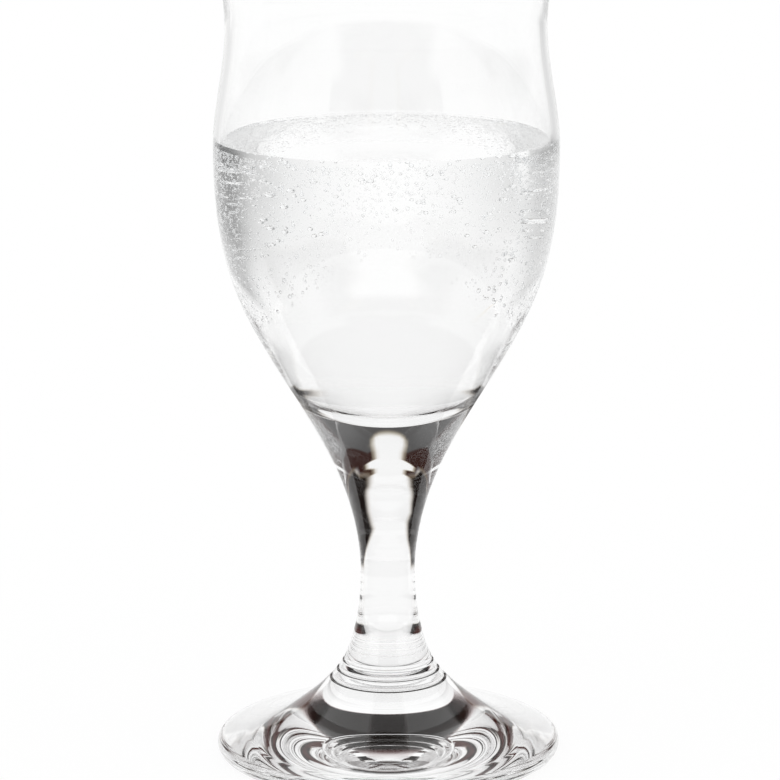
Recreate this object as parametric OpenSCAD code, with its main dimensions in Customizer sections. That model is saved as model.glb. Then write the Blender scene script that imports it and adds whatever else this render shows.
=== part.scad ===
// Stemmed tulip beer glass with a clear sparkling drink in it.
// The bowl, the stem and the foot are three pieces of glass, fused hot at two flat seals.
// Millimetres, +Z up, the axis of the glass on Z, and the table at Z = 0.

/* [Foot] */
// Diameter of the foot
foot_d = 81.6; // [66:0.1:96]
// Height of the foot up to its seal with the stem
foot_h = 24.5; // [21:0.1:30]
// Thickness of the half-round edge of the foot
foot_edge = 3.8; // [2.4:0.1:5]
// Downward slope of the foot's upper face where it meets the edge
edge_slope = 0.12; // [0:0.01:0.3]
// How far the flare keeps the slope of the stem before it turns outwards
flare_top_pull = 7.5; // [5:0.1:9]
// How far the flare keeps the slope of the edge before it turns upwards
flare_edge_pull = 15; // [10:0.1:18]
// Inner diameter of the flat ring that the glass stands on
standing_d = 66; // [40:0.1:74]
// Depth of the dish under the foot
dish_depth = 1.8; // [0.5:0.1:4]

/* [Rings on the flare] */
// Number of pressed rings round the top of the flare
ring_count = 3; // [1:1:3]
// Distance from the seal down to the first ring
ring_drop = 2.4; // [1.5:0.1:3]
// Distance from one ring down to the next
ring_pitch = 2.05; // [1.8:0.05:3.4]
// Radius of a ring's round groove
ring_radius = 0.9; // [0.5:0.05:1.2]
// Depth of a ring's groove
ring_depth = 0.35; // [0.1:0.05:0.5]

/* [Stem] */
// Length of the stem from seal to seal
stem_len = 41.5; // [34:0.1:70]
// Diameter of the stem where it is fused to the foot
stem_foot_d = 19; // [15:0.1:22]
// How much the radius shrinks per height at that seal
stem_foot_slope = 0.36; // [0.2:0.01:0.5]
// Diameter of the stem at its neck
neck_d = 12.8; // [9:0.1:14]
// Height of the neck above the foot's seal
neck_rise = 19.1; // [14:0.1:24]
// Diameter of the stem where it is fused to the bowl
stem_bowl_d = 21.9; // [18:0.1:25]
// How much the radius grows per height at that seal
stem_bowl_slope = 0.38; // [0.25:0.01:0.5]

/* [Bowl] */
// Diameter of the bowl at its belly
belly_d = 80; // [74:0.1:92]
// Height of the shoulder, where the funnel ends, above the bowl's seal
shoulder_rise = 46.5; // [42:0.1:56]
// Diameter of the bowl at the shoulder
shoulder_d = 71.1; // [68:0.1:74]
// How much the radius grows per height at the shoulder
shoulder_slope = 0.35; // [0.25:0.01:0.45]
// Height of the belly above the shoulder
belly_rise = 32.2; // [28:0.1:38]
// Height of the waist above the belly
waist_rise = 28.3; // [20:0.1:40]
// Diameter of the bowl at its waist
waist_d = 73.8; // [66:0.1:78]
// Height of the rim above the waist
lip_rise = 11; // [6:0.1:20]
// Diameter of the bowl at its flared rim
lip_d = 76; // [70:0.1:84]
// How much the radius grows per height at the rim
lip_slope = 0.2; // [0:0.01:0.4]

/* [Walls] */
// Wall thickness at the shoulder, measured level
shoulder_wall = 2.6; // [1.6:0.1:3]
// Wall thickness at the belly
belly_wall = 2; // [1.2:0.1:2.4]
// Wall thickness at the waist
waist_wall = 1.8; // [1.2:0.1:2.4]
// Wall thickness at the fire-polished rim
lip_wall = 1.6; // [1:0.1:2.4]
// Depth of the cavity from the belly down to its rounded bottom
cavity_depth = 60.7; // [50:0.1:68]
// How far the bottom of the cavity runs out level before it turns upwards
cavity_bottom_pull = 18; // [12:0.1:20]
// How far the cavity keeps the slope of the shoulder before it turns inwards
cavity_shoulder_pull = 10; // [6:0.1:14]

/* [Drink] */
// Depth of the drink over the bottom of the cavity
drink_depth = 62.7; // [10:0.1:86]

/* [Hidden] */
$fn = 96;

// Straight runs that stand for one curve of a profile
curve_steps = 14;
// Straight runs that stand for a half-round edge
round_steps = 10;

glass_colour = [0.86, 0.91, 0.92, 0.45];
drink_colour = [0.80, 0.90, 0.97, 0.55];

// Heights that the lengths above stack up to
stem_z = foot_h;
neck_z = stem_z + neck_rise;
bowl_z = stem_z + stem_len;
shoulder_z = bowl_z + shoulder_rise;
belly_z = shoulder_z + belly_rise;
waist_z = belly_z + waist_rise;
rim_z = waist_z + lip_rise;
cavity_z = belly_z - cavity_depth;
drink_z = cavity_z + drink_depth;

// The half-round lip: its centre lies below the rim by the lip's own radius
lip_r = lip_wall / 2;
lip_z = rim_z - lip_r;
lip_lean = atan(lip_slope);

// The half-round edge of the foot and the place where the flare meets it
edge_r = foot_edge / 2;
edge_centre = [foot_d / 2 - edge_r, edge_r];
edge_end = 90 - atan(edge_slope);

// Profile points are [radius, height]
function on_circle(centre, radius, angle) = centre + radius * [cos(angle), sin(angle)];

// Points of an arc, from one angle to another
function arc(centre, radius, from, to) =
    [for (i = [0 : round_steps]) on_circle(centre, radius, from + (to - from) * i / round_steps)];

// One point of a curve between two ends that each have a radius, a height and a slope
function swell(low, low_slope, high, high_slope, t) =
    let (rise = high[1] - low[1], u = 1 - t)
    [
        low[0] * u * u * (1 + 2 * t) + high[0] * t * t * (3 - 2 * t)
            + rise * t * u * (low_slope * u - high_slope * t),
        low[1] + rise * t
    ];

// Points of that curve from its low end to its high end
function swell_run(low, low_slope, high, high_slope) =
    [for (i = [0 : curve_steps]) swell(low, low_slope, high, high_slope, i / curve_steps)];

// The same points without the first one, to follow a run that ends there
function after_first(points) = [for (i = [1 : len(points) - 1]) points[i]];

function reversed(points) = [for (i = [len(points) - 1 : -1 : 0]) points[i]];

// One point of a curve that leaves its ends towards two poles
function bend(from, from_pole, to_pole, to, t) =
    let (u = 1 - t)
    u * u * u * from + 3 * u * u * t * from_pole + 3 * u * t * t * to_pole + t * t * t * to;

// The flare of the foot, from the seal at t = 0 to the round edge at t = 1
flare_from = [stem_foot_d / 2, foot_h];
flare_to = on_circle(edge_centre, edge_r, edge_end);
flare_top_pole = flare_from + flare_top_pull * [stem_foot_slope, -1];
flare_edge_pole = flare_to + flare_edge_pull * [-1, edge_slope];

function flare(t) = bend(flare_from, flare_top_pole, flare_edge_pole, flare_to, t);

// Where on the flare a height lies, found by halving the stretch that holds it
function flare_at(height, from = 0, to = 1, halvings = 20) =
    let (middle = (from + to) / 2)
    halvings == 0 ? middle
        : flare(middle)[1] > height ? flare_at(height, middle, to, halvings - 1)
        : flare_at(height, from, middle, halvings - 1);

// Direction square to the flare, pointing out of the glass
function flare_normal(t) =
    let (step = 0.01, run = flare(t + step) - flare(t - step))
    [-run[1], run[0]] / norm(run);

// The outside of the bowl, from its seal up to the rim
bowl_seal = [stem_bowl_d / 2, bowl_z];
shoulder = [shoulder_d / 2, shoulder_z];
belly = [belly_d / 2, belly_z];
waist = [waist_d / 2, waist_z];
lip = [lip_d / 2, lip_z];

bowl_outside = concat(
    swell_run(bowl_seal, stem_bowl_slope, shoulder, shoulder_slope),
    after_first(swell_run(shoulder, shoulder_slope, belly, 0)),
    after_first(swell_run(belly, 0, waist, 0)),
    after_first(swell_run(waist, 0, lip, lip_slope))
);

// The inside of the bowl: a round bottom up to the shoulder, then curves that follow the wall
cavity_shoulder = shoulder - [shoulder_wall, 0];
cavity_belly = belly - [belly_wall, 0];
cavity_waist = waist - [waist_wall, 0];
cavity_lip = lip - [lip_wall, 0];

cavity_bottom = [0, cavity_z];
cavity_bottom_pole = cavity_bottom + [cavity_bottom_pull, 0];
cavity_shoulder_pole = cavity_shoulder - cavity_shoulder_pull * [shoulder_slope, 1];

cavity_outline = concat(
    [
        for (i = [0 : 2 * curve_steps])
            bend(cavity_bottom, cavity_bottom_pole, cavity_shoulder_pole, cavity_shoulder,
                i / (2 * curve_steps))
    ],
    after_first(swell_run(cavity_shoulder, shoulder_slope, cavity_belly, 0)),
    after_first(swell_run(cavity_belly, 0, cavity_waist, 0)),
    after_first(swell_run(cavity_waist, 0, cavity_lip, lip_slope))
);

// The lip rounds over from the outside to the inside, square to both at its ends
lip_round = arc(lip - [lip_r, 0], lip_r, -lip_lean, 180 - lip_lean);

module bowl() {
    color(glass_colour)
        rotate_extrude()
            polygon(concat(
                [[0, bowl_z]],
                bowl_outside,
                after_first(lip_round),
                reversed(cavity_outline)
            ));
}

module stem() {
    foot_end = [stem_foot_d / 2, stem_z];
    neck = [neck_d / 2, neck_z];
    color(glass_colour)
        rotate_extrude()
            polygon(concat(
                [[0, stem_z]],
                swell_run(foot_end, -stem_foot_slope, neck, 0),
                after_first(swell_run(neck, 0, bowl_seal, stem_bowl_slope)),
                [[0, bowl_z]]
            ));
}

// The foot before its rings are pressed: dish, standing ring, round edge and flare
module foot_blank() {
    dish = [
        for (i = [0 : curve_steps])
            let (share = i / curve_steps)
            [standing_d / 2 * share, dish_depth * (1 - share * share)]
    ];
    flare_run = [for (i = [0 : 2 * curve_steps]) flare(1 - i / (2 * curve_steps))];
    rotate_extrude()
        polygon(concat(
            dish,
            arc(edge_centre, edge_r, -90, edge_end),
            after_first(flare_run),
            [[0, foot_h]]
        ));
}

// One round groove, sunk into the flare at a height
module ring_groove(height) {
    t = flare_at(height);
    rotate_extrude()
        translate(flare(t) + (ring_radius - ring_depth) * flare_normal(t))
            circle(r = ring_radius, $fn = 32);
}

module foot() {
    color(glass_colour)
        difference() {
            foot_blank();
            for (i = [0 : ring_count - 1])
                ring_groove(foot_h - ring_drop - i * ring_pitch);
        }
}

// The drink fills the cavity up to its level
module drink() {
    color(drink_colour)
        intersection() {
            rotate_extrude()
                polygon(concat(cavity_outline, [[0, lip_z]]));
            translate([0, 0, cavity_z - belly_wall])
                cylinder(d = belly_d, h = drink_z - cavity_z + belly_wall);
        }
}

bowl();
stem();
foot();
drink();
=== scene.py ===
"""Studio scene of a stemmed tulip beer glass that holds a clear sparkling drink.

Metres, +Z up. The axis of the glass is the Z axis and the table is at Z = 0.
"""

from __future__ import annotations

import logging
import math
import random
from collections.abc import Callable
from dataclasses import dataclass, field
from enum import Enum, IntEnum

import bmesh
import bpy
from mathutils import Matrix, Vector

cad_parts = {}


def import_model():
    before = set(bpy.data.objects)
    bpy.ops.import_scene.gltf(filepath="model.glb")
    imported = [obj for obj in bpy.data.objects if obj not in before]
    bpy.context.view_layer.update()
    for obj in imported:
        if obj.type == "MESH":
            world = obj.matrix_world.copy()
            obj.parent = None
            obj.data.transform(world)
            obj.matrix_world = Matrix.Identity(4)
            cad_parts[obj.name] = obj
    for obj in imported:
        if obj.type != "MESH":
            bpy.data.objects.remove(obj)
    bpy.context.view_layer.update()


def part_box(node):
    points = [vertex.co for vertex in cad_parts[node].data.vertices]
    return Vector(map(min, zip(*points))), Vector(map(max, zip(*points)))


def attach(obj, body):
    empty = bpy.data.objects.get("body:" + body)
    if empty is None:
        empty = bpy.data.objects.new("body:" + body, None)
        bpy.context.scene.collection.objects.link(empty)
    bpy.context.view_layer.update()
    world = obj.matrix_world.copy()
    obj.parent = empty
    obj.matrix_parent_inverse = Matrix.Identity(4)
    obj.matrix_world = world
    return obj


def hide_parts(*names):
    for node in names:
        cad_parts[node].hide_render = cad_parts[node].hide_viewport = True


LOG = logging.getLogger("beer_glass")

Piece = bpy.types.Object
Mesh = bmesh.types.BMesh
Material = bpy.types.Material
Tree = bpy.types.NodeTree
Socket = bpy.types.NodeSocket
Colour = tuple[float, float, float]
Given = float | Socket
Shade = Colour | Socket
# Where a change starts and where it ends.
Span = tuple[float, float]

MM = 0.001
BODY = "root"
IMAGE_PIXELS = 780
SENSOR_MM = 36.0
HALF_TURN = 180.0
FULL_TURN = 360.0
AXIS = {"cent": (0.0, 0.0, 0.0), "axis": (0.0, 0.0, 1.0)}
WHITE = (1.0, 1.0, 1.0)

# How strongly the glass and the drink bend light, against air.
GLASS_IOR = 1.5
DRINK_IOR = 1.333
# Gas against the drink, eased so that the smallest bubbles stay pale.
GAS_IOR = 0.88

# Palest and deepest tint of a clear melt's streaks.
GLASS_TINTS = ((0.999, 0.9995, 0.9992), (0.995, 0.997, 0.996))
DRINK_TINTS = ((0.999, 1.0, 1.0), (0.994, 0.997, 0.999))
GAS_TINTS = (WHITE, (0.985, 0.99, 0.995))

# Point attribute that says how far a studio card covers what is behind it.
COVER = "cover"

# The streaks of a clear melt run up and down; they show where the noise passes through this range.
STREAK_STRETCH = (2.0, 2.0, 0.3)
STREAK_RANGE = (0.35, 0.65)
STREAK_DETAIL = 3.0
RIPPLE_DETAIL = 1.0

# A profile is spun through one sector, and the sector is then copied round the axis.
SECTORS = 8
SECTOR_STEPS = 24
# Two points of a profile closer than this are one.
MERGE_DISTANCE = 1e-7


class Skin(IntEnum):
    """Material slots of a glass piece."""

    POLISHED = 0
    SEAL = 1
    WETTED = 2


class Ray(Enum):
    """Outputs of the Light Path node that the studio tells apart."""

    GLOSSY = "Is Glossy Ray"
    TRANSMISSION = "Is Transmission Ray"


def mm(radius: float, height: float) -> Vector:
    """A profile point from millimetres, as radius and height in metres."""
    return Vector((radius * MM, height * MM))


def swell(low: Vector, low_slope: float, high: Vector, high_slope: float, steps: int) -> list[Vector]:
    """Draw a smooth run of wall between two rings of known radius, height and slope.

    Args:
        low: Radius and height of the lower ring.
        low_slope: Growth of the radius per height at the lower ring.
        high: Radius and height of the upper ring.
        high_slope: Growth of the radius per height at the upper ring.
        steps: Straight runs that stand for the curve.

    Returns:
        The points from the lower ring to the upper one.
    """
    rise = high.y - low.y
    points = []
    for i in range(steps + 1):
        t = i / steps
        u = 1.0 - t
        radius = low.x * u * u * (1 + 2 * t) + high.x * t * t * (3 - 2 * t)
        radius += rise * t * u * (low_slope * u - high_slope * t)
        points.append(Vector((radius, low.y + rise * t)))
    return points


def bend(start: Vector, start_pole: Vector, end_pole: Vector, end: Vector, steps: int) -> list[Vector]:
    """Draw a curve that leaves its two ends towards two poles.

    Args:
        start: First point.
        start_pole: Where the curve heads as it leaves the first point.
        end_pole: Where the curve comes from as it reaches the last point.
        end: Last point.
        steps: Straight runs that stand for the curve.

    Returns:
        The points from start to end.
    """
    points = []
    for i in range(steps + 1):
        t = i / steps
        u = 1.0 - t
        leaving = u * u * u * start + 3 * u * u * t * start_pole
        points.append(leaving + 3 * u * t * t * end_pole + t * t * t * end)
    return points


def arc(centre: Vector, radius: float, first: float, last: float, steps: int) -> list[Vector]:
    """Draw a round edge.

    Args:
        centre: Centre of the arc.
        radius: Radius of the arc.
        first: Angle of the first point, in degrees from outwards towards up.
        last: Angle of the last point.
        steps: Straight runs that stand for the arc.

    Returns:
        The points from the first angle to the last.
    """
    points = []
    for i in range(steps + 1):
        angle = math.radians(first + (last - first) * i / steps)
        points.append(centre + radius * Vector((math.cos(angle), math.sin(angle))))
    return points


def chain(*runs: list[Vector]) -> list[Vector]:
    """Join runs of points, dropping each point that repeats the one before it."""
    points: list[Vector] = []
    for run in runs:
        for point in run:
            if not points or (point - points[-1]).length > MERGE_DISTANCE:
                points.append(point)
    return points


def turned(name: str, outline: list[Vector]) -> Piece:
    """Spin an outline round the axis of the glass and close its open ends with seal faces.

    Args:
        name: Name of the new object.
        outline: Points of radius and height.

    Returns:
        The new object, linked to the scene, with its place in its mesh.
    """
    mesh_data = bmesh.new()
    corners = [mesh_data.verts.new((point.x, 0.0, point.y)) for point in outline]
    edges = [mesh_data.edges.new(pair) for pair in zip(corners, corners[1:])]
    bmesh.ops.spin(mesh_data, geom=corners + edges, angle=math.tau / SECTORS, steps=SECTOR_STEPS, **AXIS)
    sector = mesh_data.verts[:] + mesh_data.edges[:] + mesh_data.faces[:]
    bmesh.ops.spin(
        mesh_data,
        geom=sector,
        angle=math.tau * (SECTORS - 1) / SECTORS,
        steps=SECTORS - 1,
        use_duplicate=True,
        **AXIS,
    )
    bmesh.ops.remove_doubles(mesh_data, verts=mesh_data.verts, dist=MERGE_DISTANCE)
    open_edges = [edge for edge in mesh_data.edges if edge.is_boundary]
    for face in mesh_data.faces:
        face.smooth = True
    if open_edges:
        bmesh.ops.edgeloop_fill(mesh_data, edges=open_edges, mat_nr=Skin.SEAL)
    for edge in open_edges:
        edge.smooth = False
    bmesh.ops.recalc_face_normals(mesh_data, faces=mesh_data.faces)
    return finished(name, mesh_data)


def give_skin(piece: Piece, skin: Skin, belongs: Callable[[Vector, Vector], bool]) -> None:
    """Move the faces that a test picks to another material slot.

    Args:
        piece: The piece.
        skin: The slot that the picked faces get.
        belongs: Test of a face's centre and normal.
    """
    for face in piece.data.polygons:
        if belongs(face.center, face.normal):
            face.material_index = skin


def finished(name: str, mesh_data: Mesh) -> Piece:
    """Turn a bmesh into an object at the origin.

    Args:
        name: Name of the new object.
        mesh_data: The shape, which is freed.

    Returns:
        The new object, linked to the scene.
    """
    mesh = bpy.data.meshes.new(name)
    mesh_data.to_mesh(mesh)
    mesh_data.free()
    piece = bpy.data.objects.new(name, mesh)
    bpy.context.scene.collection.objects.link(piece)
    return piece


def new_material(name: str) -> tuple[Material, Tree, bpy.types.Node]:
    """Start a material.

    Args:
        name: Name of the material.

    Returns:
        The material, its node tree and its Principled BSDF.
    """
    material = bpy.data.materials.new(name)
    material.use_nodes = True
    tree = material.node_tree
    return material, tree, tree.nodes["Principled BSDF"]


@dataclass(frozen=True)
class ClearFinish:
    """A clear glass, liquid or gas, with faint streaks and the faint waviness that a mould leaves."""

    name: str
    ior: float
    pale: Colour
    deep: Colour
    streak_scale: float = 60.0
    ripple_height: float = 2e-6

    def make(self, melt: Tree) -> Material:
        """Build the material.

        Args:
            melt: The shared node group that puts out the streaks and the waviness.

        Returns:
            The material.
        """
        material, tree, shader = new_material(self.name)
        shader.inputs["Roughness"].default_value = 0.0
        shader.inputs["IOR"].default_value = self.ior
        shader.inputs["Transmission Weight"].default_value = 1.0
        waves = tree.nodes.new("ShaderNodeGroup")
        waves.node_tree = melt
        waves.inputs["Scale"].default_value = self.streak_scale
        tint = mixed(tree, waves.outputs["Streak"], self.pale, self.deep)
        tree.links.new(tint, shader.inputs["Base Color"])
        bump = tree.nodes.new("ShaderNodeBump")
        bump.inputs["Strength"].default_value = 1.0
        bump.inputs["Distance"].default_value = self.ripple_height
        tree.links.new(waves.outputs["Height"], bump.inputs["Height"])
        tree.links.new(bump.outputs["Normal"], shader.inputs["Normal"])
        return material


@dataclass(frozen=True)
class SealFinish:
    """A hot-fused seal: the glass runs on through it, so nothing shows."""

    name: str = "fused_seal"

    def make(self) -> Material:
        """Build the material and return it."""
        material, _, shader = new_material(self.name)
        shader.inputs["Alpha"].default_value = 0.0
        return material


def reckoned(tree: Tree, operation: str, *values: Given) -> Socket:
    """Add a Math node.

    Args:
        tree: Node tree that gets the node.
        operation: Blender's name of the operation.
        *values: Numbers, or sockets that give them.

    Returns:
        The socket that gives the result.
    """
    node = tree.nodes.new("ShaderNodeMath")
    node.operation = operation
    for value, socket in zip(values, node.inputs):
        if isinstance(value, Socket):
            tree.links.new(value, socket)
        else:
            socket.default_value = value
    return node.outputs["Value"]


def eased(tree: Tree, value: Socket, low: float, high: float) -> Socket:
    """Add a smooth step.

    Args:
        tree: Node tree that gets the node.
        value: Socket that gives the value.
        low: Value at which the step gives 0.
        high: Value at which the step gives 1.

    Returns:
        The socket that gives the step.
    """
    node = tree.nodes.new("ShaderNodeMapRange")
    node.interpolation_type = "SMOOTHSTEP"
    node.inputs["From Min"].default_value = min(low, high)
    node.inputs["From Max"].default_value = max(low, high)
    node.inputs["To Min"].default_value = 0.0 if low < high else 1.0
    node.inputs["To Max"].default_value = 1.0 if low < high else 0.0
    tree.links.new(value, node.inputs["Value"])
    return node.outputs["Result"]


def mixed(tree: Tree, factor: Socket, first: Shade, second: Shade) -> Socket:
    """Add a mix of two colours.

    Args:
        tree: Node tree that gets the node.
        factor: Socket that gives the share of the second colour.
        first: Colour, or the socket that gives it.
        second: Colour, or the socket that gives it.

    Returns:
        The socket that gives the mixed colour.
    """
    node = tree.nodes.new("ShaderNodeMix")
    node.data_type = "RGBA"
    colours = {socket.name: socket for socket in node.inputs if socket.type == "RGBA"}
    tree.links.new(factor, node.inputs["Factor"])
    for shade, socket in ((first, colours["A"]), (second, colours["B"])):
        if isinstance(shade, Socket):
            tree.links.new(shade, socket)
        else:
            socket.default_value = (*shade, 1.0)
    return next(socket for socket in node.outputs if socket.type == "RGBA")


def melt_group() -> Tree:
    """Build the node group for the streaks and the waviness of a clear melt.

    Returns:
        A group with the input Scale and the outputs Streak and Height.
    """
    group = bpy.data.node_groups.new("clear_melt", "ShaderNodeTree")
    group.interface.new_socket("Scale", in_out="INPUT", socket_type="NodeSocketFloat")
    group.interface.new_socket("Streak", in_out="OUTPUT", socket_type="NodeSocketFloat")
    group.interface.new_socket("Height", in_out="OUTPUT", socket_type="NodeSocketFloat")
    given = group.nodes.new("NodeGroupInput")
    put_out = group.nodes.new("NodeGroupOutput")
    place = group.nodes.new("ShaderNodeTexCoord")
    ripple = group.nodes.new("ShaderNodeTexNoise")
    ripple.inputs["Detail"].default_value = RIPPLE_DETAIL
    group.links.new(place.outputs["Object"], ripple.inputs["Vector"])
    group.links.new(given.outputs["Scale"], ripple.inputs["Scale"])
    group.links.new(ripple.outputs["Fac"], put_out.inputs["Height"])
    drawn = group.nodes.new("ShaderNodeVectorMath")
    drawn.operation = "MULTIPLY"
    drawn.inputs[1].default_value = STREAK_STRETCH
    group.links.new(place.outputs["Object"], drawn.inputs[0])
    streak = group.nodes.new("ShaderNodeTexNoise")
    streak.inputs["Detail"].default_value = STREAK_DETAIL
    group.links.new(drawn.outputs["Vector"], streak.inputs["Vector"])
    group.links.new(given.outputs["Scale"], streak.inputs["Scale"])
    group.links.new(eased(group, streak.outputs["Fac"], *STREAK_RANGE), put_out.inputs["Streak"])
    return group


@dataclass(frozen=True)
class Seal:
    """A flat seal between two pieces: its ring, and the growth of the radius per height there."""

    ring: Vector
    slope: float


FOOT_SEAL = Seal(mm(9.5, 24.5), -0.36)
BOWL_SEAL = Seal(mm(10.95, 66.0), 0.38)


@dataclass
class Bowl:
    """The tulip bowl: a thick funnel, a shoulder, a belly, a waist and a flared lip."""

    seal: Seal = BOWL_SEAL
    shoulder: Vector = field(default_factory=lambda: mm(35.55, 112.5))
    shoulder_slope: float = 0.35
    belly: Vector = field(default_factory=lambda: mm(40.0, 144.7))
    waist: Vector = field(default_factory=lambda: mm(36.9, 173.0))
    lip_radius: float = 38.0 * MM
    rim: float = 184.0 * MM
    lip_slope: float = 0.2
    shoulder_wall: float = 2.6 * MM
    belly_wall: float = 2.0 * MM
    waist_wall: float = 1.8 * MM
    lip_wall: float = 1.6 * MM
    cavity_bottom: float = 84.0 * MM
    wetted_to: float = 147.1 * MM
    bottom_pull: float = 18.0 * MM
    shoulder_pull: float = 10.0 * MM
    long_steps: int = 60
    steps: int = 40
    short_steps: int = 20
    lip_steps: int = 16

    @property
    def lip(self) -> Vector:
        """Where the outside ends and the round of the lip starts."""
        return Vector((self.lip_radius, self.rim - self.lip_wall / 2))

    def outside(self) -> list[Vector]:
        """The outer wall, from the seal up to the lip."""
        return chain(
            swell(self.seal.ring, self.seal.slope, self.shoulder, self.shoulder_slope, self.long_steps),
            swell(self.shoulder, self.shoulder_slope, self.belly, 0.0, self.steps),
            swell(self.belly, 0.0, self.waist, 0.0, self.steps),
            swell(self.waist, 0.0, self.lip, self.lip_slope, self.short_steps),
        )

    def cavity(self) -> list[Vector]:
        """The inner wall, from the bottom of the cavity up to the lip."""
        bottom = Vector((0.0, self.cavity_bottom))
        shoulder = self.shoulder - Vector((self.shoulder_wall, 0.0))
        belly = self.belly - Vector((self.belly_wall, 0.0))
        waist = self.waist - Vector((self.waist_wall, 0.0))
        lip = self.lip - Vector((self.lip_wall, 0.0))
        points = chain(
            bend(
                bottom,
                bottom + Vector((self.bottom_pull, 0.0)),
                shoulder - self.shoulder_pull * Vector((self.shoulder_slope, 1.0)),
                shoulder,
                self.long_steps,
            ),
            swell(shoulder, self.shoulder_slope, belly, 0.0, self.steps),
            swell(belly, 0.0, waist, 0.0, self.steps),
            swell(waist, 0.0, lip, self.lip_slope, self.short_steps),
        )
        above = next(i for i, point in enumerate(points) if point.y > self.wetted_to)
        share = (self.wetted_to - points[above - 1].y) / (points[above].y - points[above - 1].y)
        points.insert(above, points[above - 1].lerp(points[above], share))
        return points

    def build(self) -> Piece:
        """Spin the bowl and return it."""
        lean = math.degrees(math.atan(self.lip_slope))
        centre = self.lip - Vector((self.lip_wall / 2, 0.0))
        lip = arc(centre, self.lip_wall / 2, -lean, HALF_TURN - lean, self.lip_steps)
        outline = chain(self.outside(), lip, list(reversed(self.cavity())))
        piece = turned("bowl_glass", outline)
        give_skin(piece, Skin.WETTED, self.is_wetted)
        return piece

    def is_wetted(self, centre: Vector, normal: Vector) -> bool:
        """Whether a face of the bowl touches the drink."""
        inwards = normal.x * centre.x + normal.y * centre.y < 0.0
        return inwards and self.cavity_bottom - MM < centre.z < self.wetted_to


@dataclass
class Stem:
    """The solid waisted stem."""

    foot_seal: Seal = FOOT_SEAL
    neck: Vector = field(default_factory=lambda: mm(6.4, 43.6))
    bowl_seal: Seal = BOWL_SEAL
    steps: int = 60

    def build(self) -> Piece:
        """Spin the stem and return it."""
        outline = chain(
            swell(self.foot_seal.ring, self.foot_seal.slope, self.neck, 0.0, self.steps),
            swell(self.neck, 0.0, self.bowl_seal.ring, self.bowl_seal.slope, self.steps),
        )
        return turned("stem_glass", outline)


@dataclass
class Foot:
    """The flared foot with its pressed rings, round edge, standing ring and dish."""

    seal: Seal = FOOT_SEAL
    radius: float = 40.8 * MM
    edge: float = 3.8 * MM
    edge_slope: float = 0.12
    top_pull: float = 7.5 * MM
    edge_pull: float = 15.0 * MM
    standing_radius: float = 33.0 * MM
    dish_depth: float = 1.8 * MM
    ring_heights: tuple[float, ...] = (22.1 * MM, 20.05 * MM, 18.0 * MM)
    ring_depth: float = 0.35 * MM
    ring_half_width: float = 0.72 * MM
    flare_steps: int = 260
    edge_steps: int = 24
    dish_steps: int = 30

    @property
    def edge_radius(self) -> float:
        """Radius of the half-round edge."""
        return self.edge / 2

    @property
    def edge_centre(self) -> Vector:
        """Centre of the half-round edge."""
        return Vector((self.radius - self.edge_radius, self.edge_radius))

    def flare(self) -> list[Vector]:
        """The upper face, from the round edge up to the seal, with the rings pressed in."""
        lean = math.atan(self.edge_slope)
        low = self.edge_centre + self.edge_radius * Vector((math.sin(lean), math.cos(lean)))
        points = bend(
            low,
            low + self.edge_pull * Vector((-1.0, self.edge_slope)),
            self.seal.ring - self.top_pull * Vector((self.seal.slope, 1.0)),
            self.seal.ring,
            self.flare_steps,
        )
        lengths = [0.0]
        for before, after in zip(points, points[1:]):
            lengths.append(lengths[-1] + (after - before).length)
        rings = [self.nearest(points, height) for height in self.ring_heights]
        pressed = [points[0]]
        for i in range(1, len(points) - 1):
            along = (points[i + 1] - points[i - 1]).normalized()
            inwards = Vector((-along.y, along.x))
            depth = sum(self.groove(lengths[i] - lengths[ring]) for ring in rings)
            pressed.append(points[i] + depth * inwards)
        pressed.append(points[-1])
        return pressed

    @staticmethod
    def nearest(points: list[Vector], height: float) -> int:
        """Index of the point that lies nearest to a height."""
        return min(range(len(points)), key=lambda i: abs(points[i].y - height))

    def groove(self, away: float) -> float:
        """Depth of a ring's groove at a distance from its middle, along the flare."""
        share = min(abs(away) / self.ring_half_width, 1.0)
        return self.ring_depth * (1.0 + math.cos(math.pi * share)) / 2

    def build(self) -> Piece:
        """Spin the foot and return it."""
        dish = []
        for i in range(self.dish_steps + 1):
            share = i / self.dish_steps
            dish.append(Vector((self.standing_radius * share, self.dish_depth * (1.0 - share * share))))
        lean = math.degrees(math.atan(self.edge_slope))
        edge = arc(self.edge_centre, self.edge_radius, -90.0, 90.0 - lean, self.edge_steps)
        return turned("foot_glass", chain(dish, edge, self.flare()))


@dataclass
class Drink:
    """The clear drink: it wets the cavity and climbs a little at the wall."""

    level: float
    film: float = 0.01 * MM
    climb: float = 0.4 * MM
    climb_reach: float = 1.0 * MM
    surface_steps: int = 40
    # Faces whose normal rises less than this lie against the wall.
    wall_rise: float = 0.3

    def build(self, cavity: list[Vector]) -> Piece:
        """Spin the drink.

        Args:
            cavity: The inner wall of the bowl, from its bottom up.

        Returns:
            The new object, a hair's breadth smaller than the cavity.
        """
        wetted = []
        for i, point in enumerate(cavity):
            if point.y > self.level + self.climb + MERGE_DISTANCE:
                break
            before = cavity[max(i - 1, 0)]
            after = cavity[min(i + 1, len(cavity) - 1)]
            along = (after - before).normalized()
            inwards = Vector((-along.y, along.x)) if i else Vector((0.0, 1.0))
            wetted.append(point + self.film * inwards)
        edge = wetted[-1]
        surface = []
        for i in range(1, self.surface_steps + 1):
            share = math.sqrt(1.0 - i / self.surface_steps)
            radius = edge.x * share
            rise = self.climb * math.exp(-(edge.x - radius) / self.climb_reach)
            surface.append(Vector((radius, self.level + rise)))
        piece = turned("clear_drink", chain(wetted, surface))
        give_skin(piece, Skin.SEAL, lambda centre, normal: normal.z < self.wall_rise)
        return piece


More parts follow.
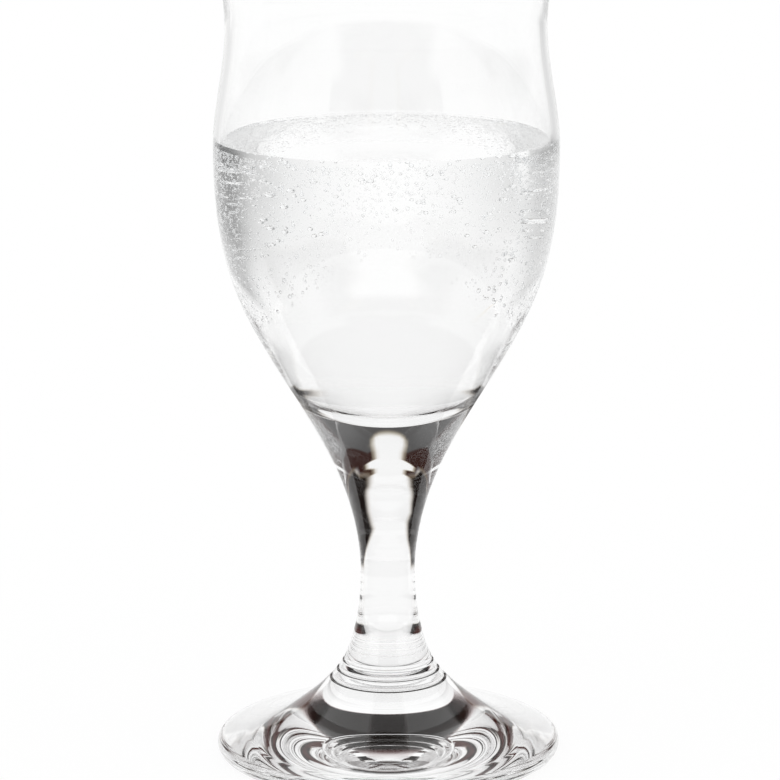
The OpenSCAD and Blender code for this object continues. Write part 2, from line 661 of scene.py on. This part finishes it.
@dataclass
class Bubbles:
    """Gas bubbles that cling to the wall, closest together just under the surface of the drink."""

    count: int = 5200
    least: float = 0.1 * MM
    most: float = 0.45 * MM
    top: float = 0.8 * MM
    reach: float = 17.0 * MM
    reach_aside: float = 25.0 * MM
    # How strongly the bubbles gather under the surface and at the sides, and how far small ones prevail.
    gathering: float = 1.5
    gathering_aside: float = 1.5
    smallness: float = 2.0
    # Share of the bubbles' density that is left straight in front and behind.
    evenness: float = 0.3
    clearance: float = 0.03 * MM
    sides: int = 6
    rings: int = 4
    seed: int = 7

    def build(self, name: str, cavity: list[Vector], level: float) -> Piece:
        """Scatter the bubbles along the wetted wall.

        Args:
            name: Name of the new object.
            cavity: The inner wall of the bowl, from its bottom up.
            level: Height of the surface of the drink.

        Returns:
            One object that holds every bubble.
        """
        chance = random.Random(self.seed)
        one = bmesh.new()
        bmesh.ops.create_uvsphere(one, u_segments=self.sides, v_segments=self.rings, radius=1.0)
        for face in one.faces:
            face.smooth = True
        stamp = bpy.data.meshes.new("bubble_stamp")
        one.to_mesh(stamp)
        one.free()
        mesh_data = bmesh.new()
        for _ in range(self.count):
            radius = self.least + (self.most - self.least) * chance.random() ** self.smallness
            turn = chance.uniform(0.0, math.tau)
            while chance.random() > self.density(turn):
                turn = chance.uniform(0.0, math.tau)
            reach = self.reach + self.reach_aside * abs(math.cos(turn))
            height = level - self.top - radius - reach * chance.random() ** self.gathering
            wall = min(cavity, key=lambda point: abs(point.y - height))
            out = wall.x - radius - self.clearance
            place = Vector((out * math.cos(turn), out * math.sin(turn), height))
            put = Matrix.Translation(place) @ Matrix.Scale(radius, 4)
            stamp.transform(put)
            mesh_data.from_mesh(stamp)
            stamp.transform(put.inverted())
        bpy.data.meshes.remove(stamp)
        return finished(name, mesh_data)

    def density(self, turn: float) -> float:
        """How close together the bubbles sit at an angle round the axis, 1 at the sides."""
        return self.evenness + (1.0 - self.evenness) * abs(math.cos(turn)) ** self.gathering_aside


# The three crowds of bubbles, by the names of their objects.
BUBBLES = {
    "wall_bubbles": Bubbles(),
    "fine_bubbles": Bubbles(most=0.24 * MM, reach=9.0 * MM, reach_aside=16.0 * MM, seed=8),
    "broad_bubbles": Bubbles(
        count=1100,
        least=0.25 * MM,
        most=0.6 * MM,
        reach=10.0 * MM,
        reach_aside=32.0 * MM,
        sides=10,
        rings=6,
        seed=9,
    ),
}


@dataclass(frozen=True)
class SoftFinish:
    """A card that shows only to light that has met the glass, and fades out where its cover is thin."""

    name: str
    edge: Colour
    body: Colour
    one_sided: bool = False

    def make(self) -> Material:
        """Build the material and return it."""
        material = bpy.data.materials.new(self.name)
        material.use_nodes = True
        material.cycles.emission_sampling = "NONE"
        tree = material.node_tree
        tree.nodes.remove(tree.nodes["Principled BSDF"])
        cover = tree.nodes.new("ShaderNodeAttribute")
        cover.attribute_name = COVER
        glow = tree.nodes.new("ShaderNodeEmission")
        tree.links.new(mixed(tree, cover.outputs["Fac"], self.edge, self.body), glow.inputs["Color"])
        clear = tree.nodes.new("ShaderNodeBsdfTransparent")
        mix = tree.nodes.new("ShaderNodeMixShader")
        seen = cover.outputs["Fac"]
        if self.one_sided:
            side = tree.nodes.new("ShaderNodeNewGeometry")
            seen = reckoned(tree, "MULTIPLY", seen, side.outputs["Backfacing"])
        tree.links.new(seen, mix.inputs["Fac"])
        tree.links.new(clear.outputs["BSDF"], mix.inputs[1])
        tree.links.new(glow.outputs["Emission"], mix.inputs[2])
        tree.links.new(mix.outputs["Shader"], tree.nodes["Material Output"].inputs["Surface"])
        return material


def stepped(value: float, low: float, high: float) -> float:
    """A smooth step from 0 at one value to 1 at another."""
    share = min(max((value - low) / (high - low), 0.0), 1.0)
    return share * share * (3.0 - 2.0 * share)


def faded(value: float, low: float, high: float) -> float:
    """A smooth step from 1 at one value to 0 at another."""
    return 1.0 - stepped(value, low, high)


def between(value: float, low: float, high: float, soft: float) -> float:
    """1 well between two values and 0 outside them, with soft ends."""
    return stepped(min(value - low, high - value), 0.0, soft)


@dataclass(frozen=True)
class Spot:
    """A place on a studio card.

    Its bearing counts in degrees from straight behind or straight in front, whichever is nearer.
    """

    bearing: float
    height: float
    away: float
    behind: bool

    @property
    def off(self) -> float:
        """How far the spot lies to either side, in degrees."""
        return abs(self.bearing)

    @property
    def around(self) -> float:
        """How far round the axis the spot lies from straight behind, in degrees."""
        return self.off if self.behind else HALF_TURN - self.off


CoverOf = Callable[[Spot], float]


@dataclass(frozen=True)
class Opening:
    """One level of a bright shape behind the glass, as bearings of its two edges in degrees."""

    height: float
    right: float
    left: float

    def edge(self, bearing: float) -> float:
        """How far the edge on a bearing's side lies from straight behind."""
        return self.right if bearing > 0.0 else -self.left


def opening(height: float, right: float, left: float) -> Opening:
    """A level of a bright shape, with its height in millimetres."""
    return Opening(height * MM, right, left)


def edge_at(levels: tuple[Opening, ...], spot: Spot) -> float:
    """Where the edge of a bright shape lies at a spot's height.

    Args:
        levels: Levels of the shape, from the lowest up.
        spot: The spot, which also says which side of the shape is asked for.

    Returns:
        The edge's distance from straight behind, in degrees.
    """
    for low, high in zip(levels, levels[1:]):
        if spot.height <= high.height:
            share = min(max((spot.height - low.height) / (high.height - low.height), 0.0), 1.0)
            return low.edge(spot.bearing) + share * (high.edge(spot.bearing) - low.edge(spot.bearing))
    return levels[-1].edge(spot.bearing)


@dataclass
class Cards:
    """The studio's cards: dark ones round the stem and over the foot, and white ones round the whole glass.

    The flags and the bright shapes stand both behind the glass and in front of it.
    Two values in degrees say where a card starts to change as it goes round, and where the change ends.
    """

    turns: int = 180
    levels: int = 40
    card_levels: int = 50

    # Dark flags round the stem, with a gap for the bright ground behind it.
    flag_edge: Colour = (0.5, 0.4, 0.28)
    flag_dark: Colour = (0.01, 0.007, 0.006)
    flag_radius: float = 100.0 * MM
    flag_low: float = 14.0 * MM
    flag_low_full: float = 24.0 * MM
    flag_high: float = 98.0 * MM
    flag_high_aside: float = 108.0 * MM
    flag_high_far: float = 102.0 * MM
    flag_fade: float = 6.0 * MM
    flag_soft: float = 4.5
    flag_aside: Span = (19.0, 25.0)
    flag_far: Span = (38.0, 50.0)
    flag_end: Span = (77.0, 82.0)
    gap: tuple[Opening, ...] = (
        opening(24, 48.0, -44.0),
        opening(36, 35.0, -36.0),
        opening(44, 24.0, -28.0),
        opening(51, 16.0, -24.0),
        opening(58, 18.0, -22.0),
        opening(66, 19.0, -25.0),
        opening(73, 18.0, -22.5),
        opening(79, 17.0, -21.5),
        opening(84, 13.0, -17.5),
        opening(92, 12.0, -15.0),
        opening(98, 14.0, -19.0),
    )

    # Bright shapes further out: a wide base with soft edges, and a stepped column with warm ones.
    warm_edge: Colour = (1.0, 0.86, 0.62)
    card_radius: float = 300.0 * MM
    base_soft: float = 5.0
    base_low: float = 100.0 * MM
    base_low_full: float = 124.0 * MM
    base: tuple[Opening, ...] = (
        opening(104, 17.6, -23.4),
        opening(120, 16.7, -21.8),
        opening(132, 15.6, -20.1),
        opening(142, 13.5, -18.4),
    )
    column_soft: float = 2.4
    column_fade: float = 10.0 * MM
    column: tuple[Opening, ...] = (
        opening(142, 13.5, -18.4),
        opening(146, 9.1, -12.0),
        opening(156, 9.1, -12.0),
        opening(161, 14.5, -19.5),
        opening(172, 14.5, -19.5),
        opening(176, 7.4, -9.3),
        opening(190, 7.4, -9.3),
        opening(206, 8.3, -10.2),
        opening(214, 7.6, -9.4),
        opening(224, 5.5, -7.0),
    )

    # White sheets: close round the bowl, behind its empty part, further out at its sides, behind the foot.
    sheet_soft: float = 5.0 * MM
    end_soft: float = 16.0
    bowl_away: float = 2.0 * MM
    bowl_turn: float = 270.0
    bowl_low: float = 90.0 * MM
    bowl_low_front: float = 97.0 * MM
    bowl_low_side: float = 84.0 * MM
    bowl_side: Span = (64.0, 78.0)
    bowl_high: float = 112.0 * MM
    bowl_high_aside: float = 145.0 * MM
    bowl_aside: Span = (32.0, 44.0)
    top_radius: float = 62.0 * MM
    top_turn: float = 110.0
    top_low: float = 138.0 * MM
    top_high: float = 192.0 * MM
    far_radius: float = 150.0 * MM
    far_low: float = 130.0 * MM
    far_high: float = 168.0 * MM
    far_start: Span = (38.0, 54.0)
    foot_radius: float = 140.0 * MM
    foot_low: float = 16.0 * MM
    foot_high: float = 60.0 * MM
    foot_end: Span = (50.0, 60.0)

    # Level cards over the foot: a dark roof, a white card over it, and a dark tray in front.
    level_low: float = 8.2 * MM
    level_high: float = 134.0 * MM
    level_rings: int = 90
    roof_edge: Colour = (0.22, 0.025, 0.015)
    roof_dark: Colour = (0.012, 0.01, 0.009)
    roof_height: float = 32.0 * MM
    roof_reach: Span = (118.0 * MM, 134.0 * MM)
    roof_inner: Span = (7.0 * MM, 16.0 * MM)
    roof_inner_aside: Span = (36.0 * MM, 42.0 * MM)
    roof_end: Span = (19.0, 27.0)
    roof_aside: Span = (50.0, 66.0)
    roof_share_aside: float = 0.75
    glow_height: float = 32.5 * MM
    glow_reach: Span = (11.0 * MM, 14.0 * MM)
    glow_reach_aside: Span = (30.0 * MM, 36.0 * MM)
    glow_aside: Span = (14.0, 20.0)
    tray_height: float = 34.0 * MM
    tray_inner: Span = (13.0 * MM, 18.0 * MM)

    def build(self, outside: list[Vector]) -> None:
        """Set up every card.

        Args:
            outside: The outer wall of the bowl, from its seal up.
        """
        flag = SoftFinish("dark_flag", self.flag_edge, self.flag_dark).make()
        plain = SoftFinish("white_card", WHITE, WHITE).make()
        warm = SoftFinish("warm_edged_card", self.warm_edge, WHITE).make()
        roof = SoftFinish("dark_roof", self.roof_edge, self.roof_dark, one_sided=True).make()
        below = SoftFinish("white_one_sided", WHITE, WHITE, one_sided=True).make()

        line = self.upright(self.flag_radius, self.flag_low, self.flag_high_aside, self.levels)
        self.stand("stem_flags", line, self.flag_cover, flag)
        line = self.upright(self.card_radius, self.base_low, self.base[-1].height, self.card_levels)
        self.stand("base_card", line, self.base_cover, plain)
        line = self.upright(self.card_radius, self.column[0].height, self.column[-1].height, self.card_levels)
        self.stand("column_card", line, self.column_cover, warm)
        line = self.upright(self.top_radius, self.top_low, self.top_high, self.levels)
        self.stand("top_sheet", line, self.top_cover, plain, self.top_turn)
        line = self.upright(self.far_radius, self.far_low, self.far_high, self.levels)
        self.stand("far_sheet", line, self.far_cover, plain)
        away = Vector((self.bowl_away, 0.0))
        line = [point + away for point in outside if self.bowl_low_side < point.y < self.bowl_high_aside]
        self.stand("bowl_sheet", line, self.bowl_cover, plain, self.bowl_turn)
        line = self.upright(self.foot_radius, self.foot_low, self.foot_high, self.levels)
        self.stand("foot_sheet", line, self.foot_cover, plain, HALF_TURN)

        self.lay("foot_roof", self.roof_height, self.roof_cover, roof)
        self.lay("foot_glow", self.glow_height, self.glow_cover, below)
        self.lay("stem_tray", self.tray_height, self.tray_cover, roof, from_above=True)

    @staticmethod
    def rungs(low: float, high: float, count: int) -> list[float]:
        """Values at even steps from low to high."""
        return [low + (high - low) * i / count for i in range(count + 1)]

    def upright(self, radius: float, low: float, high: float, levels: int) -> list[Vector]:
        """Points of an upright line at a radius, from low to high."""
        return [Vector((radius, height)) for height in self.rungs(low, high, levels)]

    def flag_cover(self, spot: Spot) -> float:
        """Cover of the dark flags, which leave a gap in front, behind and at the sides."""
        edge = edge_at(self.gap, spot)
        side = stepped(spot.off, edge - self.flag_soft, edge + self.flag_soft)
        side *= faded(spot.off, *self.flag_end)
        top = self.flag_high + (self.flag_high_aside - self.flag_high) * stepped(spot.off, *self.flag_aside)
        top += (self.flag_high_far - self.flag_high_aside) * stepped(spot.off, *self.flag_far)
        upright = stepped(spot.height, self.flag_low, self.flag_low_full)
        return side * upright * faded(spot.height, top - self.flag_fade, top)

    def base_cover(self, spot: Spot) -> float:
        """Cover of the wide card behind the lower stem."""
        edge = edge_at(self.base, spot)
        side = faded(spot.off, edge - self.base_soft, edge + self.base_soft)
        return side * stepped(spot.height, self.base_low, self.base_low_full)

    def column_cover(self, spot: Spot) -> float:
        """Cover of the stepped card behind the upper stem."""
        edge = edge_at(self.column, spot)
        side = faded(spot.off, edge - self.column_soft, edge + self.column_soft)
        top = self.column[-1].height
        return side * faded(spot.height, top - self.column_fade, top)

    def end_cover(self, turn: float, spot: Spot) -> float:
        """Cover of a sheet that fades out at both ends of its turn."""
        return stepped(turn / 2 - spot.around, 0.0, self.end_soft)

    def top_cover(self, spot: Spot) -> float:
        """Cover of the sheet behind the empty part of the bowl."""
        upright = between(spot.height, self.top_low, self.top_high, self.sheet_soft)
        return upright * self.end_cover(self.top_turn, spot)

    def far_cover(self, spot: Spot) -> float:
        """Cover of the sheet at the sides and in front, further out than the top sheet."""
        upright = between(spot.height, self.far_low, self.far_high, self.sheet_soft)
        return upright * stepped(spot.around, *self.far_start)

    def bowl_cover(self, spot: Spot) -> float:
        """Cover of the sheet close round the shoulder of the bowl, which is tallest at the sides."""
        low = self.bowl_low if spot.behind else self.bowl_low_front
        low += (self.bowl_low_side - low) * stepped(spot.off, *self.bowl_side)
        band = between(spot.height, low, self.bowl_high, self.sheet_soft)
        tall = between(spot.height, low, self.bowl_high_aside, self.sheet_soft)
        cover = max(band, tall * stepped(spot.off, *self.bowl_aside))
        return cover * self.end_cover(self.bowl_turn, spot)

    def foot_cover(self, spot: Spot) -> float:
        """Cover of the low sheet behind the foot."""
        upright = between(spot.height, self.foot_low, self.foot_high, self.sheet_soft)
        return upright * faded(spot.off, *self.foot_end)

    def roof_cover(self, spot: Spot) -> float:
        """Cover of the dark roof over the foot, widest straight behind and at the sides."""
        middle = faded(spot.off, *self.roof_end) * stepped(spot.away, *self.roof_inner)
        sides = stepped(spot.off, *self.roof_aside) * stepped(spot.away, *self.roof_inner_aside)
        return max(middle, self.roof_share_aside * sides) * faded(spot.away, *self.roof_reach)

    def glow_cover(self, spot: Spot) -> float:
        """Cover of the white card round the stem, over the roof."""
        wide = faded(spot.away, *self.glow_reach_aside) * stepped(spot.off, *self.glow_aside)
        return max(faded(spot.away, *self.glow_reach), wide)

    def tray_cover(self, spot: Spot) -> float:
        """Cover of the dark tray in front of the stem."""
        if spot.behind:
            return 0.0
        return stepped(spot.away, *self.tray_inner) * faded(spot.away, *self.roof_reach)

    def stand(
        self,
        name: str,
        outline: list[Vector],
        cover_of: CoverOf,
        finish: Material,
        turn: float = FULL_TURN,
    ) -> None:
        """Stand an upright card round the axis of the glass.

        Args:
            name: Name of the card.
            outline: Points of radius and height.
            cover_of: Cover of a spot, from 0 to 1.
            finish: The card's material.
            turn: How far the card goes round in degrees, with its middle straight behind.
        """
        self.stage(name, self.spun(outline, turn), cover_of, finish)

    def lay(
        self,
        name: str,
        height: float,
        cover_of: CoverOf,
        finish: Material,
        from_above: bool = False,
    ) -> None:
        """Lay one level card round the axis of the glass.

        Args:
            name: Name of the card.
            height: Height of the card.
            cover_of: Cover of a spot, from 0 to 1.
            finish: The card's material, which shows on one side.
            from_above: Whether the card shows from above rather than from below.
        """
        radii = self.rungs(self.level_low, self.level_high, self.level_rings)
        mesh_data = self.spun([Vector((radius, height)) for radius in radii], FULL_TURN)
        bmesh.ops.recalc_face_normals(mesh_data, faces=mesh_data.faces)
        mesh_data.faces.ensure_lookup_table()
        if (mesh_data.faces[0].normal.z < 0.0) != from_above:
            bmesh.ops.reverse_faces(mesh_data, faces=mesh_data.faces)
        self.stage(name, mesh_data, cover_of, finish)

    def spun(self, outline: list[Vector], turn: float) -> Mesh:
        """An open outline spun round the axis of the glass, through a turn in degrees."""
        mesh_data = bmesh.new()
        angle = math.radians(turn)
        start = (math.pi - angle) / 2
        along = Vector((math.cos(start), math.sin(start), 0.0))
        corners = [mesh_data.verts.new(along * point.x + Vector((0.0, 0.0, point.y))) for point in outline]
        edges = [mesh_data.edges.new(pair) for pair in zip(corners, corners[1:])]
        bmesh.ops.spin(
            mesh_data,
            geom=corners + edges,
            angle=angle,
            steps=self.turns,
            use_merge=turn == FULL_TURN,
            **AXIS,
        )
        return mesh_data

    @staticmethod
    def stage(name: str, mesh_data: Mesh, cover_of: CoverOf, finish: Material) -> None:
        """Make a card of the studio that only light from the glass meets.

        Args:
            name: Name of the card.
            mesh_data: Its shape.
            cover_of: Cover of a spot, from 0 to 1.
            finish: Its material.
        """
        cover = mesh_data.verts.layers.float.new(COVER)
        for corner in mesh_data.verts:
            x, y, height = corner.co
            bearing = math.degrees(math.atan2(x, abs(y)))
            corner[cover] = cover_of(Spot(bearing, height, corner.co.xy.length, y > 0.0))
        card = finished(name, mesh_data)
        card.data.materials.append(finish)
        card.visible_camera = False
        card.visible_diffuse = False
        card.visible_shadow = False


@dataclass
class Studio:
    """Camera, table and surroundings.

    Two values in degrees of bearing or rise say where the room starts to change and where the change ends.
    """

    camera_place: tuple[float, float, float] = (0.0, -0.774, 0.261)
    aim: tuple[float, float, float] = (0.00065, 0.0, 0.0873)
    roll_degrees: float = -0.176
    focal_pixels: float = 3389.0
    floor_radius: float = 0.5
    floor_full: float = 0.16
    floor_turns: int = 96
    floor_glow: float = 0.93
    # The glass stands on the table's high spots, so air lies under almost all of it.
    floor_gap: float = 0.05 * MM
    # Light runs round and round inside the wall of the bowl, so it takes many bounces.
    bounces: int = 128

    brown: Colour = (0.035, 0.012, 0.009)
    grey: Colour = (0.085, 0.083, 0.083)
    ceiling: Colour = (0.28, 0.28, 0.28)
    # Bearings from straight behind the glass, each with the horizon's brightness there.
    horizon: tuple[tuple[float, float], ...] = (
        (-85.0, 0.8),
        (-62.0, 0.45),
        (-40.0, 0.5),
        (-33.0, 0.66),
        (-22.0, 0.78),
        (-14.0, 0.9),
        (-6.0, 0.98),
        (0.0, 1.0),
        (6.0, 0.97),
        (12.0, 0.91),
        (20.0, 0.76),
        (30.0, 0.5),
        (36.0, 0.22),
        (42.0, 0.07),
        (66.0, 0.04),
        (85.0, 0.6),
    )
    # The sweep pales towards the horizon in two stages, less so at the sides.
    first_pale: Span = (-9.0, -3.0)
    first_pale_share: float = 0.25
    second_pale: Span = (-4.0, 8.0)
    dim_aside: Span = (26.0, 40.0)
    dim_share: float = 0.6
    # A bright strip stands at the left of the sweep.
    strip_left: Span = (-33.0, -30.0)
    strip_right: Span = (-25.0, -28.0)
    strip_top: Span = (-5.0, -8.5)
    # The sweep is paler in front of the glass, by the direction's depth, and white near the ground.
    front: Span = (-0.1, -0.4)
    front_share: float = 0.8
    ground: Span = (-11.0, -14.0)
    # Over the sweep stands a dark wall, white at the sides, whose upper edge climbs from its middle.
    wall_low: Span = (8.5, 12.5)
    wall_aside: Span = (22.0, 30.0)
    wall_white_top: Span = (21.0, 18.0)
    wall_top: Span = (21.8, 22.8)
    wall_middle: float = 13.0
    wall_climb: float = 18.0
    wall_climb_rate: float = 0.42
    # The ceiling pales as it rises, though not at the sides, up to a dark ring round a white middle.
    ceiling_pale: Span = (22.0, 46.0)
    ceiling_aside: Span = (42.0, 62.0)
    ceiling_ring: Span = (52.0, 58.0)
    ceiling_middle: Span = (72.0, 78.0)

    def set_camera(self) -> None:
        """Place the camera where the picture was taken from."""
        camera_data = bpy.data.cameras.new("camera")
        camera_data.sensor_width = SENSOR_MM
        camera_data.lens = self.focal_pixels / IMAGE_PIXELS * SENSOR_MM
        camera = bpy.data.objects.new("camera", camera_data)
        bpy.context.scene.collection.objects.link(camera)
        place = Vector(self.camera_place)
        look = (Vector(self.aim) - place).to_track_quat("-Z", "Y").to_matrix()
        roll = Matrix.Rotation(math.radians(self.roll_degrees), 3, "Z")
        camera.matrix_world = Matrix.Translation(place) @ (look @ roll).to_4x4()
        bpy.context.scene.camera = camera

    def lay_floor(self) -> None:
        """Lay the pale table, which runs out into the white ground."""
        mesh_data = bmesh.new()
        bmesh.ops.create_circle(mesh_data, cap_ends=True, segments=self.floor_turns, radius=self.floor_radius)
        bmesh.ops.translate(mesh_data, verts=mesh_data.verts, vec=(0.0, 0.0, -self.floor_gap))
        floor = finished("table", mesh_data)
        material, tree, shader = new_material("pale_table")
        shader.inputs["Base Color"].default_value = (*WHITE, 1.0)
        shader.inputs["Roughness"].default_value = 1.0
        shader.inputs["Specular IOR Level"].default_value = 0.0
        glow = tree.nodes.new("ShaderNodeEmission")
        glow.inputs["Strength"].default_value = 1.0
        lit = tree.nodes.new("ShaderNodeMixShader")
        lit.inputs["Fac"].default_value = self.floor_glow
        tree.links.new(shader.outputs["BSDF"], lit.inputs[1])
        tree.links.new(glow.outputs["Emission"], lit.inputs[2])
        place = tree.nodes.new("ShaderNodeTexCoord")
        away = tree.nodes.new("ShaderNodeVectorMath")
        away.operation = "LENGTH"
        tree.links.new(place.outputs["Object"], away.inputs[0])
        clear = tree.nodes.new("ShaderNodeBsdfTransparent")
        mix = tree.nodes.new("ShaderNodeMixShader")
        run_out = eased(tree, away.outputs["Value"], self.floor_full, self.floor_radius)
        tree.links.new(run_out, mix.inputs["Fac"])
        tree.links.new(lit.outputs["Shader"], mix.inputs[1])
        tree.links.new(clear.outputs["BSDF"], mix.inputs[2])
        tree.links.new(mix.outputs["Shader"], tree.nodes["Material Output"].inputs["Surface"])
        material.cycles.emission_sampling = "NONE"
        floor.data.materials.append(material)

    def light(self) -> None:
        """Set the white ground, and the room that shows through the glass and in it."""
        world = bpy.data.worlds.new("studio")
        world.use_nodes = True
        bpy.context.scene.world = world
        tree = world.node_tree
        path = tree.nodes.new("ShaderNodeLightPath").outputs
        in_glass = reckoned(tree, "MAXIMUM", path[Ray.GLOSSY.value], path[Ray.TRANSMISSION.value])
        shown = mixed(tree, in_glass, WHITE, self.room(tree))
        tree.links.new(shown, tree.nodes["Background"].inputs["Color"])
        bpy.context.scene.view_settings.view_transform = "Standard"
        cycles = bpy.context.scene.cycles
        cycles.max_bounces = self.bounces
        cycles.transmission_bounces = self.bounces
        cycles.glossy_bounces = self.bounces
        cycles.transparent_max_bounces = self.bounces

    def room(self, tree: Tree) -> Socket:
        """The room by direction: a white sweep, dimmer at its sides, under a dark wall and a grey ceiling.

        Args:
            tree: Node tree of the world.

        Returns:
            The socket that gives the colour.
        """
        place = tree.nodes.new("ShaderNodeTexCoord")
        parts = tree.nodes.new("ShaderNodeSeparateXYZ")
        tree.links.new(place.outputs["Generated"], parts.inputs["Vector"])
        rise = reckoned(tree, "DEGREES", reckoned(tree, "ARCSINE", parts.outputs["Z"]))
        depth = reckoned(tree, "ABSOLUTE", parts.outputs["Y"])
        bearing = reckoned(tree, "DEGREES", reckoned(tree, "ARCTAN2", parts.outputs["X"], depth))
        aside = reckoned(tree, "ABSOLUTE", bearing)

        first = reckoned(tree, "MULTIPLY", eased(tree, rise, *self.first_pale), self.first_pale_share)
        second = reckoned(tree, "MULTIPLY", eased(tree, rise, *self.second_pale), 1.0 - self.first_pale_share)
        dim = reckoned(tree, "MULTIPLY", eased(tree, aside, *self.dim_aside), self.dim_share)
        kept = reckoned(tree, "SUBTRACT", 1.0, dim)
        paler = reckoned(tree, "MULTIPLY", reckoned(tree, "ADD", first, second), kept)
        sweep = mixed(tree, paler, self.horizon_ramp(tree, bearing), WHITE)
        left = eased(tree, bearing, *self.strip_left)
        across = reckoned(tree, "MULTIPLY", left, eased(tree, bearing, *self.strip_right))
        strip = reckoned(tree, "MULTIPLY", across, eased(tree, rise, *self.strip_top))
        sweep = mixed(tree, strip, sweep, WHITE)
        front = reckoned(tree, "MULTIPLY", eased(tree, parts.outputs["Y"], *self.front), self.front_share)
        sweep = mixed(tree, front, sweep, WHITE)
        sweep = mixed(tree, eased(tree, rise, *self.ground), sweep, WHITE)

        beside = eased(tree, aside, *self.wall_aside)
        beside = reckoned(tree, "MULTIPLY", beside, eased(tree, rise, *self.wall_white_top))
        wall = mixed(tree, beside, self.brown, WHITE)
        ceiling = mixed(tree, eased(tree, rise, *self.ceiling_pale), self.grey, self.ceiling)
        ceiling = mixed(tree, eased(tree, aside, *self.ceiling_aside), ceiling, self.grey)
        ceiling = mixed(tree, eased(tree, rise, *self.ceiling_ring), ceiling, self.brown)
        ceiling = mixed(tree, eased(tree, rise, *self.ceiling_middle), ceiling, WHITE)
        beyond = reckoned(tree, "MAXIMUM", reckoned(tree, "SUBTRACT", aside, self.wall_middle), 0.0)
        climb = reckoned(tree, "MINIMUM", beyond, self.wall_climb)
        lift = reckoned(tree, "MULTIPLY", climb, self.wall_climb_rate)
        over = eased(tree, reckoned(tree, "SUBTRACT", rise, lift), *self.wall_top)
        above = mixed(tree, over, wall, ceiling)
        return mixed(tree, eased(tree, rise, *self.wall_low), sweep, above)

    def horizon_ramp(self, tree: Tree, bearing: Socket) -> Socket:
        """The brightness of the horizon as a colour, from a bearing."""
        ramp = tree.nodes.new("ShaderNodeValToRGB")
        ramp.color_ramp.interpolation = "CARDINAL"
        low, high = self.horizon[0][0], self.horizon[-1][0]
        stops = ramp.color_ramp.elements
        while len(stops) < len(self.horizon):
            stops.new(1.0)
        for stop, (degrees, value) in zip(stops, self.horizon):
            stop.position = (degrees - low) / (high - low)
            stop.color = (value, value, value, 1.0)
        turn = tree.nodes.new("ShaderNodeMapRange")
        turn.inputs["From Min"].default_value = low
        turn.inputs["From Max"].default_value = high
        tree.links.new(bearing, turn.inputs["Value"])
        tree.links.new(turn.outputs["Result"], ramp.inputs["Fac"])
        return ramp.outputs["Color"]


def dress(piece: Piece, slot: str, replaced: str | None, *materials: Material) -> None:
    """Give a piece its finish and tie it to the frame.

    Args:
        piece: The piece.
        slot: Material slot of the record; not used.
        replaced: Name of the CAD node that it stands for, if any.
        *materials: One material per slot of the piece.
    """
    for material in materials:
        piece.data.materials.append(material)
    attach(piece, BODY)
    if replaced:
        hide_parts(replaced)
    LOG.info("%s: %d faces", piece.name, len(piece.data.polygons))


def main() -> None:
    """Build the glass, the drink and the studio."""
    logging.basicConfig(level=logging.INFO)
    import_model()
    _, drink_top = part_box("drink")
    level = drink_top[2]

    melt = melt_group()
    glass = ClearFinish("clear_glass", GLASS_IOR, *GLASS_TINTS).make(melt)
    wetted = ClearFinish("wetted_glass", GLASS_IOR / DRINK_IOR, *GLASS_TINTS).make(melt)
    seal = SealFinish().make()
    water = ClearFinish("clear_drink", DRINK_IOR, *DRINK_TINTS).make(melt)
    gas = ClearFinish("bubble_gas", GAS_IOR, *GAS_TINTS).make(melt)

    bowl = Bowl()
    cavity = bowl.cavity()
    dress(bowl.build(), "glass", "bowl", glass, seal, wetted)
    dress(Stem().build(), "glass", "stem", glass, seal)
    dress(Foot().build(), "glass", "foot", glass, seal)
    dress(Drink(level).build(cavity), "drink", "drink", water, seal)
    for name, bubbles in BUBBLES.items():
        dress(bubbles.build(name, cavity, level), "drink", None, gas)

    studio = Studio()
    studio.set_camera()
    studio.lay_floor()
    studio.light()
    Cards().build(bowl.outside())


if __name__ == "__main__":
    main()
